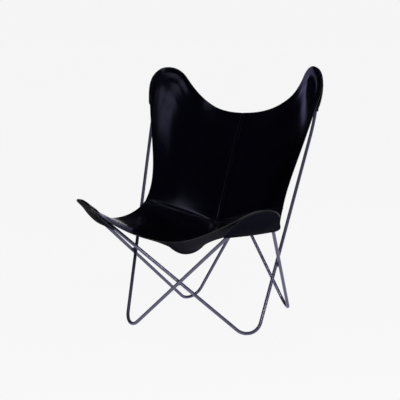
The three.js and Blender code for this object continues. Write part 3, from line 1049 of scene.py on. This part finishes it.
@dataclass
class Sling:
    """The leather sling: four panels, four pocket patches and their stitching."""

    frame: RodFrame
    seam_stitch: float = 0.0055
    hem_stitch: float = 0.0065
    hem_reach: float = 0.014
    hem_thickness: float = 0.0070
    front_slack: float = 0.012
    crossed = {"left": "right_back", "right": "left_back"}
    stitching: Stitching = field(default_factory=Stitching)
    panels: dict = field(default_factory=dict)
    folds = {
        "left": PullFold(
            height=0.002, softness=0.016, crown_lift=0.0, crown_rise=0.001,
            dip=0.002, rim_outer=0.3, rim_inner=1.0,
        ),
        "right": PullFold(
            height=0.0095, softness=0.003, crown_lift=0.005, crown_rise=0.006,
            dip=0.0, rim_outer=1.0, rim_inner=0.2,
        ),
    }

    def tips(self) -> dict[str, Bend]:
        """The upper bend under each panel."""
        one, two = self.frame.loops
        return {
            "back_left": self.frame.tip(two, "back_tip"),
            "back_right": self.frame.tip(one, "back_tip"),
            "seat_left": self.frame.tip(one, "front_tip"),
            "seat_right": self.frame.tip(two, "front_tip"),
        }

    def build(self, finishes: dict[str, Material]) -> list[Object]:
        """Make every piece of the sling.

        Args:
            finishes: materials by name.

        Returns:
            The pieces.
        """
        pieces = []
        sheet = (finishes["leather"], finishes["suede"], finishes["edge"])
        for key, tip in self.tips().items():
            part, side = key.split("_")
            rod = f"bent_rod_loop_{f'{side}_back' if part == 'back' else self.crossed[side]}"
            panel = SlingPanel(f"{part}_panel_{side}", tip, rod, part == "back", self.folds[side])
            pieces.append(panel.build(*sheet))
            self.panels[key] = panel
            patch = f"{'back' if part == 'back' else 'front'}_pocket_{side}"
            pocket = PocketPatch(patch, panel, sag=0.0 if part == "back" else self.front_slack)
            pieces.append(pocket.build(finishes["suede"], finishes["edge"]))
            path, normals = self.hem(panel, patch)
            hem = [(path, normals), (path - normals * self.hem_thickness, -normals)]
            pieces.append(self.stitched(f"{patch}_stitches", hem, finishes["thread"]))
        seams = [
            self.beside(panel, border, self.seam_stitch)
            for panel in self.panels.values()
            for border in Border
        ]
        pieces.append(self.stitched("seam_stitches", seams, finishes["thread"]))
        return pieces

    def stitched(self, name: str, rows: list, finish: Material) -> Object:
        """Make one piece of several rows of stitches.

        Args:
            name: the piece's name.
            rows: the path of each row, and the normals along it.
            finish: the thread's material.

        Returns:
            The piece.
        """
        bm = bmesh.new()
        count = sum(self.stitching.sew(bm, path, normals) for path, normals in rows)
        log.info("%s: %d stitches", name, count)
        return piece_from(bm, name, (finish,))

    def hem(self, panel: SlingPanel, patch: str) -> tuple[ndarray, ndarray]:
        """A path on a panel inside the part of its free edge that a pocket patch is sewn to.

        Args:
            panel: the panel, with its surface made.
            patch: the pocket patch's node.

        Returns:
            Points along the path and the normals there.
        """
        edge = np.concatenate([panel.points[-1], panel.points[-2::-1, -1]])
        inner = np.concatenate([panel.points[-4], panel.points[-2::-1, -4]])
        ups = np.concatenate([panel.normals[-1], panel.normals[-2::-1, -1]])
        solid = np.array([vert.co[:] for vert in bpy.data.objects[patch].data.vertices])
        gaps = np.array([np.linalg.norm(solid - point, axis=1).min() for point in edge])
        sewn = np.nonzero(gaps < self.hem_reach)[0]
        inward = unit(np.cross(ups, np.gradient(edge, axis=0)))
        inward *= np.sign(np.sum(inward * (inner - edge), axis=1))[:, None]
        surface, square = panel.points.reshape(-1, 3), panel.normals.reshape(-1, 3)
        path, normals = [], []
        for point in (edge + inward * self.hem_stitch)[sewn[0] : sewn[-1] + 1]:
            k = int(np.argmin(np.linalg.norm(surface - point, axis=1)))
            path.append(point - square[k] * np.dot(point - surface[k], square[k]))
            normals.append(square[k])
        return np.array(path), unit(np.array(normals))

    @staticmethod
    def beside(panel: SlingPanel, border: Border, inset: float) -> tuple[ndarray, ndarray]:
        """A path on a panel beside one of its seams.

        Args:
            panel: the panel, with its surface made.
            border: the seam.
            inset: distance from the seam.

        Returns:
            Points along the path and the normals there.
        """
        lines, normals = panel.points, panel.normals
        if border is Border.CROSS_SEAM:
            lines, normals = lines.swapaxes(0, 1), normals.swapaxes(0, 1)
        runs = [run_of(line) for line in lines]
        path = [read_along(inset, run, line) for run, line in zip(runs, lines)]
        ups = [read_along(inset, run, up) for run, up in zip(runs, normals)]
        return np.array(path), unit(np.array(ups))


# Studio


@dataclass(frozen=True)
class Lamp:
    """An area lamp: where it hangs, its width and height, its watts, and the point it faces."""

    name: str
    place: tuple
    size: tuple
    power: float
    aim: tuple = (0.0, 0.0, 0.45)

    def hang(self) -> None:
        """Add the lamp to the scene."""
        data = bpy.data.lights.new(self.name, "AREA")
        data.shape = "RECTANGLE"
        data.size, data.size_y = self.size
        data.energy = self.power
        lamp = bpy.data.objects.new(self.name, data)
        lamp.location = self.place
        facing = Vector(self.aim) - Vector(self.place)
        lamp.rotation_euler = facing.to_track_quat("-Z", "Y").to_euler()
        bpy.context.scene.collection.objects.link(lamp)


@dataclass(frozen=True)
class Glow:
    """A pale part of the surroundings.

    Each limit is an axis of the direction, where the glow begins on it, and where it is full.
    """

    colour: tuple
    limits: tuple


LAMPS = (
    Lamp("overhead_softbox", (-0.62, 0.04, 5.0), (1.75, 0.76), 10.5, aim=(-0.62, 0.04, 0.0)),
    Lamp("right_softbox", (2.43, -0.12, 2.45), (0.9, 0.8), 3.4),
    Lamp("front_key", (2.27, -2.72, 1.93), (0.7, 0.7), 23.0),
    Lamp("rear_strip", (-0.45, 3.4, 2.0), (0.9, 0.9), 5.0),
    Lamp("front_fill", (1.3, -4.4, 2.3), (1.6, 1.0), 56.0),
)
PALE = 0.913
GLOWS = (
    Glow((PALE, PALE, PALE), (("Z", 0.056, 0.036), ("Y", 0.6, 0.8))),
    Glow((0.42, 0.40, 0.72), (("Z", 0.27, 0.17), ("Y", 0.22, 0.34), ("Y", 0.80, 0.66))),
    Glow((0.62, 0.60, 1.05), (("Z", 0.045, 0.07), ("Z", 0.26, 0.2), ("Y", 0.935, 0.95))),
)


@dataclass
class Studio:
    """Pale floor, soft light and the camera at the photograph's view."""

    floor_size: float = 400.0
    paint: tuple = (0.8, 0.8, 0.8, 1.0)
    shadow: tuple = (0.08, 0.08, 0.08, 1.0)
    dim: tuple = (0.02, 0.02, 0.024)
    azimuth: float = 22.43
    elevation: float = 7.51
    distance: float = 4.2164
    target: tuple = (-0.0001, -0.0709, 0.4435)
    lens: float = 107.95
    sensor: float = 36.0

    def build(self) -> None:
        """Set up the camera, the floor and the light."""
        self.camera()
        self.floor()
        self.world()
        for lamp in LAMPS:
            lamp.hang()
        bpy.context.scene.view_settings.view_transform = "Standard"

    def camera(self) -> None:
        """Place the camera."""
        a, e = math.radians(self.azimuth), math.radians(self.elevation)
        back = Vector((math.sin(a) * math.cos(e), -math.cos(a) * math.cos(e), math.sin(e)))
        data = bpy.data.cameras.new("camera")
        data.lens = self.lens
        data.sensor_width = self.sensor
        eye = bpy.data.objects.new("camera", data)
        eye.location = Vector(self.target) + back * self.distance
        eye.rotation_euler = (-back).to_track_quat("-Z", "Y").to_euler()
        bpy.context.scene.collection.objects.link(eye)
        bpy.context.scene.camera = eye

    def floor(self) -> None:
        """Lay a plain pale floor that keeps the chair's shadow."""
        bm = bmesh.new()
        bmesh.ops.create_grid(bm, x_segments=1, y_segments=1, size=self.floor_size)
        mesh = bpy.data.meshes.new("floor")
        bm.to_mesh(mesh)
        bm.free()
        tree = NodeTree(bpy.data.materials.new("pale_floor"))
        tree.nodes.remove(tree.shader)
        lit = tree.joined("ShaderNodeBsdfDiffuse", Color=self.paint)
        shaded = tree.joined("ShaderNodeBsdfDiffuse", Color=self.shadow)
        glow = tree.joined("ShaderNodeEmission", Color=(1.0, 1.0, 1.0, 1.0), Strength=PALE)
        shown = tree.joined("ShaderNodeAddShader", shaded, glow)
        mixed = tree.joined("ShaderNodeMixShader", self.seen(tree), lit, shown)
        tree.join(mixed, tree.nodes["Material Output"], "Surface")
        mesh.materials.append(tree.owner)
        floor = bpy.data.objects.new("floor", mesh)
        bpy.context.scene.collection.objects.link(floor)

    @staticmethod
    def seen(tree: NodeTree) -> NodeSocket:
        """1 for rays that show the background: from the camera, in gloss and through glass."""
        rays = tree.add("ShaderNodeLightPath").outputs
        either = rays["Is Camera Ray"]
        for name in ("Is Glossy Ray", "Is Transmission Ray"):
            either = tree.joined("ShaderNodeMath", either, rays[name], operation="MAXIMUM")
        return either

    def world(self) -> None:
        """Light a dim room with a pale backdrop behind the chair and cool lights beside it."""
        world = bpy.data.worlds.new("studio")
        bpy.context.scene.world = world
        tree = NodeTree(world)
        split = tree.add("ShaderNodeSeparateXYZ")
        tree.join(tree.coordinates["Generated"], split, 0)
        room = None
        for glow in GLOWS:
            share = None
            for axis, begin, full in glow.limits:
                source = (min(begin, full), max(begin, full))
                target = (0.0, 1.0) if begin < full else (1.0, 0.0)
                near = tree.spread(split.outputs[axis], source, target, "SMOOTHSTEP")
                if share is not None:
                    near = tree.joined("ShaderNodeMath", share, near, operation="MULTIPLY")
                share = near
            lit = tree.tones(share, self.dim, glow.colour)
            if room is not None:
                tree.join(room, lit.node, "A")
            room = lit
        tree.join(room, tree.nodes["Background"], "Color")


def main() -> None:
    """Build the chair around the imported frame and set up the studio."""
    logging.basicConfig(level=logging.INFO, format="%(message)s")
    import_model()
    finishes = {use: finish.material() for use, finish in FINISHES.items()}
    Studio().build()
    frame = RodFrame()
    pieces = frame.build(finishes["rod"])
    for crossing in Crossing:
        for corner in ("upper", "lower"):
            bead = WeldBead(f"weld_{crossing.name.lower()}_{corner}")
            pieces.append(bead.build(finishes["rod"]))
    pieces += Sling(frame).build(finishes)
    for piece in pieces:
        log.info("%s: %d faces", piece.name, len(piece.data.polygons))


if __name__ == "__main__":
    main()
